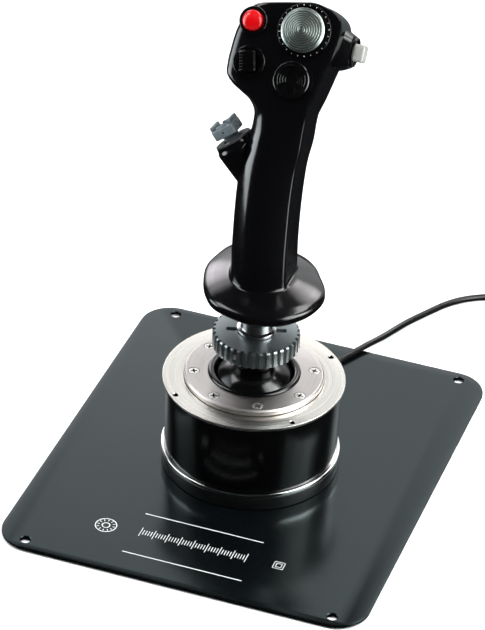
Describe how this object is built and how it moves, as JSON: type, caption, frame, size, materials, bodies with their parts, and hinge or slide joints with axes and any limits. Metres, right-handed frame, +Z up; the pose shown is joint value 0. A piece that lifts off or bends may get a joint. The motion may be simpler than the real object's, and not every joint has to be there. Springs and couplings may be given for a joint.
{
  "type": "flight joystick",
  "caption": "Desk-mounted flight joystick: steel base plate, round sprung two-axis base, and a grip with hats, buttons and a trigger.",
  "frame": {"origin": "on the surface that the rubber feet stand on, under the centre of the base plate", "axes": "+Z up through the stick at rest, +Y away from the pilot, +X to the pilot's right"},
  "size_m": [0.3205, 0.4074, 0.3283],
  "materials": {
    "black_rubber": "matt moulded",
    "steel": "turned",
    "chrome_trim": "polished",
    "satin_aluminium": "satin",
    "grey_aluminium": "blasted and anodised",
    "hat_aluminium": "turned",
    "plate_paint": "satin powder coat",
    "housing_paint": "semi gloss",
    "circuit_board": "matt",
    "red_plastic": "satin gloss",
    "grey_plastic": "satin",
    "black_gloss": "gloss",
    "black_satin": "satin"
  },
  "bodies": {
    "base": {"retaining_disc": "satin_aluminium", "gimbal_frame": "grey_aluminium", "usb_cable": "black_rubber", "socket_bezel": "black_gloss", "centring_spring": "steel", "usb_cable_coil": "black_rubber", "base_foot": "housing_paint", "top_ring": "satin_aluminium", "usb_plug_grip": "black_rubber", "base_plate": "plate_paint", "trim_ring": "chrome_trim", "base_housing": "housing_paint", "cable_gland": "black_rubber", "sensor_board": "circuit_board", "rubber_foot_1": "black_rubber", "rubber_foot_2": "black_rubber", "rubber_foot_3": "black_rubber", "rubber_foot_4": "black_rubber", "disc_screw_1": "steel", "disc_screw_2": "steel", "disc_screw_3": "steel", "disc_screw_4": "steel", "disc_screw_5": "steel", "disc_screw_6": "steel", "disc_screw_7": "steel", "disc_screw_8": "steel", "controller_board": "circuit_board", "usb_plug_shell": "chrome_trim", "coil_tie": "black_rubber"},
    "gimbal": {"gimbal_ring": "steel"},
    "stick": {"ball": "black_gloss", "sensor_magnet": "steel", "stem_tube": "steel", "stem_collar": "black_gloss", "grip_neck": "steel", "grip_shell_left": "black_gloss", "grip_shell_right": "black_gloss", "grip_board": "circuit_board", "weapon_bezel": "black_gloss", "trim_bezel": "black_gloss", "square_hat_collar": "black_gloss", "thumb_hat_mount": "black_satin", "master_collar": "black_gloss", "trigger_pin": "steel", "paddle_pin": "steel"},
    "ring_nut": {"ring_nut": "grey_aluminium"},
    "weapon_button": {"weapon_button": "red_plastic"},
    "trim_cross": {"trim_pivot": "steel"},
    "trim_hat": {"trim_hat": "hat_aluminium"},
    "square_cross": {"square_hat_pivot": "steel"},
    "square_hat": {"square_hat": "black_satin"},
    "round_cross": {"round_hat_pivot": "steel"},
    "round_hat": {"round_hat": "black_gloss"},
    "thumb_plunger": {"thumb_hat_plunger": "steel"},
    "thumb_cross": {"thumb_hat_pivot": "steel"},
    "thumb_hat": {"thumb_hat": "grey_plastic"},
    "master_button": {"master_button": "grey_plastic"},
    "trigger": {"trigger": "black_satin"},
    "paddle": {"paddle_lever": "black_satin"},
    "steering_button": {"steering_button": "black_satin"}
  },
  "joints": [
    {"name": "stick_pitch", "type": "hinge", "parent": "base", "child": "gimbal", "pos_m": [0, 0, 0.05], "axis": [1, 0, 0], "range_deg": [-15, 15], "stiffness_Nm_per_rad": 4, "deforming": ["centring_spring"]},
    {"name": "stick_roll", "type": "hinge", "parent": "gimbal", "child": "stick", "pos_m": [0, 0, 0.05], "axis": [0, 1, 0], "range_deg": [-15, 15], "stiffness_Nm_per_rad": 4, "deforming": ["centring_spring"]},
    {"name": "ring_nut_turn", "type": "hinge", "parent": "stick", "child": "ring_nut", "pos_m": [0, 0, 0.1], "axis": [0, 0, 1], "continuous": true},
    {"name": "weapon_press", "type": "slide", "parent": "stick", "child": "weapon_button", "axis": [0, 0.8387, -0.5446], "range_m": [0, 0.0015], "stiffness_N_per_m": 400},
    {"name": "trim_hat_side", "type": "hinge", "parent": "stick", "child": "trim_cross", "pos_m": [0.0104, 0.03876, 0.30981], "axis": [-0.225, 0.5307, 0.8172], "range_deg": [-8, 8], "stiffness_Nm_per_rad": 0.3},
    {"name": "trim_hat_fore", "type": "hinge", "parent": "trim_cross", "child": "trim_hat", "pos_m": [0.0104, 0.03876, 0.30981], "axis": [0.9744, 0.1225, 0.1887], "range_deg": [-8, 8], "stiffness_Nm_per_rad": 0.3},
    {"name": "square_hat_side", "type": "hinge", "parent": "stick", "child": "square_cross", "pos_m": [-0.0202, 0.0246, 0.288], "axis": [-0.225, 0.5307, 0.8172], "range_deg": [-8, 8], "stiffness_Nm_per_rad": 0.3},
    {"name": "square_hat_fore", "type": "hinge", "parent": "square_cross", "child": "square_hat", "pos_m": [-0.0202, 0.0246, 0.288], "axis": [0.9744, 0.1225, 0.1887], "range_deg": [-8, 8], "stiffness_Nm_per_rad": 0.3},
    {"name": "round_hat_side", "type": "hinge", "parent": "stick", "child": "round_cross", "pos_m": [0.01, 0.02144, 0.28314], "axis": [-0.225, 0.5307, 0.8172], "range_deg": [-8, 8], "stiffness_Nm_per_rad": 0.3},
    {"name": "round_hat_fore", "type": "hinge", "parent": "round_cross", "child": "round_hat", "pos_m": [0.01, 0.02144, 0.28314], "axis": [0.9744, 0.1225, 0.1887], "range_deg": [-8, 8], "stiffness_Nm_per_rad": 0.3},
    {"name": "thumb_hat_press", "type": "slide", "parent": "stick", "child": "thumb_plunger", "axis": [0.6191, -0.0999, -0.7789], "range_m": [0, 0.001], "stiffness_N_per_m": 500},
    {"name": "thumb_hat_side", "type": "hinge", "parent": "thumb_plunger", "child": "thumb_cross", "pos_m": [-0.02521, 0.01566, 0.23273], "axis": [0, 0.9919, -0.1272], "range_deg": [-8, 8], "stiffness_Nm_per_rad": 0.3},
    {"name": "thumb_hat_fore", "type": "hinge", "parent": "thumb_cross", "child": "thumb_hat", "pos_m": [-0.02521, 0.01566, 0.23273], "axis": [0.7853, 0.0787, 0.6141], "range_deg": [-8, 8], "stiffness_Nm_per_rad": 0.3},
    {"name": "master_press", "type": "slide", "parent": "stick", "child": "master_button", "axis": [-1, 0, 0], "range_m": [0, 0.0015], "stiffness_N_per_m": 400},
    {"name": "trigger_pull", "type": "hinge", "parent": "stick", "child": "trigger", "pos_m": [0, 0.047, 0.257], "axis": [-1, 0, 0], "range_deg": [0, 12], "stiffness_Nm_per_rad": 0.5},
    {"name": "paddle_pull", "type": "hinge", "parent": "stick", "child": "paddle", "pos_m": [0, 0.0335, 0.197], "axis": [-1, 0, 0], "range_deg": [0, 8], "stiffness_Nm_per_rad": 0.5},
    {"name": "steering_press", "type": "slide", "parent": "stick", "child": "steering_button", "axis": [0, -0.9806, 0.1961], "range_m": [0, 0.0015], "stiffness_N_per_m": 400}
  ]
}
